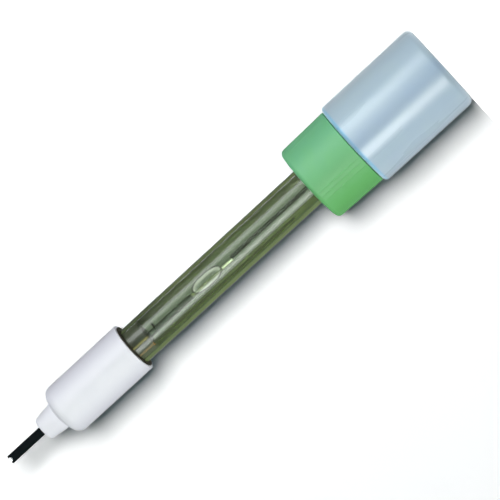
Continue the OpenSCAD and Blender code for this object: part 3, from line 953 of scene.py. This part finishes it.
class SetStudio(bpy.types.Operator):
    """Camera, backdrop, floor, lamps and world"""
    bl_idname = "electrode.studio"
    bl_label = "Studio"
    bl_options = {"REGISTER", "UNDO"}

    def execute(self, context):
        s = settings("stage")
        self.camera(s)
        self.walls(s)
        for name, told in LAMPS.items():
            self.lamp(name, *told)
        for name, told in SOFT_BOXES.items():
            self.lamp(name, *told, gloss_only=True)
        self.world(s)
        bpy.context.scene.view_settings.view_transform = "Standard"
        return {"FINISHED"}

    def camera(self, s):
        """Camera below the middle of the object, turned so that the bottle is upper right."""
        eye = Vector((s.aside, -s.distance, s.eye))
        aim = Vector((s.aside, 0.0, s.aim))
        ahead = (aim - eye).normalized()
        side = Vector((1, 0, 0))
        rise = side.cross(ahead)
        right = math.cos(s.roll) * side - math.sin(s.roll) * rise
        up = math.sin(s.roll) * side + math.cos(s.roll) * rise
        data = bpy.data.cameras.new("camera")
        data.lens = s.lens
        data.sensor_width = SENSOR_WIDTH_MM
        data.clip_start = CLIP_NEAR
        data.clip_end = CLIP_FAR
        camera = bpy.data.objects.new("camera", data)
        turn = Matrix((right, up, -ahead)).transposed().to_4x4()
        camera.matrix_world = Matrix.Translation(eye) @ turn
        bpy.context.scene.collection.objects.link(camera)
        bpy.context.scene.camera = camera

    def sheet(self, name, corners, material):
        """One flat rectangle of the stage."""
        bm = bmesh.new()
        bm.faces.new([bm.verts.new(c) for c in corners])
        mesh = bpy.data.meshes.new(name)
        bm.to_mesh(mesh)
        bm.free()
        mesh.materials.append(material)
        made = bpy.data.objects.new(name, mesh)
        bpy.context.scene.collection.objects.link(made)

    def walls(self, s):
        """White floor, a white backdrop behind the object that only its front shows, and a veil."""
        side = FLOOR_HALF
        back = radius_of("storage_bottle") + s.backdrop_gap
        flat = [(-side, -side, 0), (side, -side, 0), (side, side, 0), (-side, side, 0)]
        self.sheet("floor", flat, self.paper(s, "floor_paper", white=1.2, lift=0.85, bounce=0.12))
        self.sheet("backdrop", self.upright(back),
                   self.paper(s, "backdrop_paper", white=1.64, lift=-0.245, bounce=0.25,
                              one_sided=True))
        self.sheet("veil", self.upright(back - VEIL_GAP), self.veil())

    def upright(self, y):
        """Corners of a sheet that stands behind the object."""
        half, tall = BACKDROP_HALF, BACKDROP_TALL
        return [(-half, y, 0), (half, y, 0), (half, y, tall), (-half, y, tall)]

    def paper(self, s, name, white, lift, bounce, one_sided=False):
        """White paper that casts no shadow and glows for gloss and glass.

        White is its colour for the camera, lift the light added to that, and bounce the
        grey that it shows to the object. A one-sided paper isn't there from behind.
        """
        m = Shader(name)
        camera = m.ray("Camera")
        shown = m.mix(camera, (bounce,) * 3, (white,) * 3)
        shade = m.node("ShaderNodeBsdfDiffuse", {"Color": shown})
        lit = m.node("ShaderNodeAddShader", {0: shade, 1: m.glow(PAPER_GLOW, camera * lift)})
        surface = m.mix_shader(m.ray("Transmission"), lit, m.glow(OLIVE_SEEN, 1.0))
        surface = m.mix_shader(m.ray("Glossy"), surface, m.glow(WHITE, s.mirrored))
        open_to = m.ray("Shadow")
        if one_sided:
            open_to = m.node("ShaderNodeMath", {0: open_to, 1: m.far()}, operation="MAXIMUM")
        return m.finish(m.mix_shader(open_to, surface, m.clear()))

    def veil(self):
        """Clear film that hides the object's own colours from the backdrop.

        The backdrop gets one even grey through it, and the clear pieces show its olive.
        """
        m = Shader("veil")
        lit = 1.0 - m.ray("Shadow")
        from_backdrop = m.ray("Diffuse") * m.far() * lit
        surface = m.mix_shader(from_backdrop, m.clear(), m.glow(WHITE, VEIL_LIGHT))
        return m.finish(m.mix_shader(
            m.ray("Transmission") * lit, surface, m.glow(OLIVE_SEEN, 1.0)))

    def lamp(self, name, turn, height, distance, wide, tall, level, gloss_only=False):
        """Area lamp that looks at the object's middle.

        Level is the brightness that it gives a white card.
        """
        aim = Vector((0.0, 0.0, head_of("cable_jacket") / 2))
        angle = math.radians(turn)
        lift = math.radians(height)
        out = math.cos(lift)
        way = Vector((math.sin(angle) * out, -math.cos(angle) * out, math.sin(lift)))
        data = bpy.data.lights.new(name, "AREA")
        data.shape = "RECTANGLE"
        data.size = wide
        data.size_y = tall
        data.energy = level * (math.pi * distance) ** 2
        lamp = bpy.data.objects.new(name, data)
        lamp.location = aim + way * distance
        lamp.rotation_euler = way.to_track_quat("Z", "Y").to_euler()
        lamp.visible_camera = False
        lamp.visible_glossy = gloss_only
        lamp.visible_diffuse = not gloss_only
        bpy.context.scene.collection.objects.link(lamp)

    def world(self, s):
        """White for the camera, dimmer in gloss and glass, and a low even light on surfaces."""
        m = Shader("studio_world", world=True)
        diffuse = m.ray("Diffuse")
        sharp = m.ray("Glossy") + m.ray("Transmission")
        strength = 1.0 - diffuse * (1.0 - s.ambient) - sharp * (1.0 - s.mirrored)
        hue = m.mix(diffuse, WHITE, COOL_SKY)
        sky = m.node("ShaderNodeBackground", {"Color": hue, "Strength": strength})
        bpy.context.scene.world = m.finish(sky)


class ElectrodePanel(bpy.types.Panel):
    """Buttons of the electrode in the sidebar"""
    bl_idname = "VIEW3D_PT_electrode"
    bl_label = "Electrode"
    bl_space_type = "VIEW_3D"
    bl_region_type = "UI"
    bl_category = "Electrode"

    def draw(self, context):
        for operator in OPERATORS:
            self.layout.operator(operator.bl_idname)


GROUPS = {
    "bottle": BottleSettings,
    "thread": ThreadSettings,
    "collar": CollarSettings,
    "shaft": ShaftSettings,
    "cell": CellSettings,
    "stage": StageSettings,
}
OPERATORS = [SetStudio, DressBottle, DressCollar, DressSeal, DressShaft, DressCell, DressWires,
             DressCap, DressCable]
CLASSES = [*GROUPS.values(), *OPERATORS, ElectrodePanel]


def register():
    for cls in CLASSES:
        bpy.utils.register_class(cls)
    for name, group in GROUPS.items():
        setattr(bpy.types.Scene, "electrode_" + name, bpy.props.PointerProperty(type=group))


def unregister():
    for name in GROUPS:
        delattr(bpy.types.Scene, "electrode_" + name)
    for cls in reversed(CLASSES):
        bpy.utils.unregister_class(cls)


def main():
    """Builds everything."""
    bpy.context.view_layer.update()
    register()
    bpy.ops.electrode.studio()
    bpy.ops.electrode.bottle()
    bpy.ops.electrode.collar()
    bpy.ops.electrode.seal()
    bpy.ops.electrode.shaft()
    bpy.ops.electrode.cell()
    bpy.ops.electrode.wires()
    bpy.ops.electrode.cap()
    bpy.ops.electrode.cable()


if __name__ == "__main__":
    main()
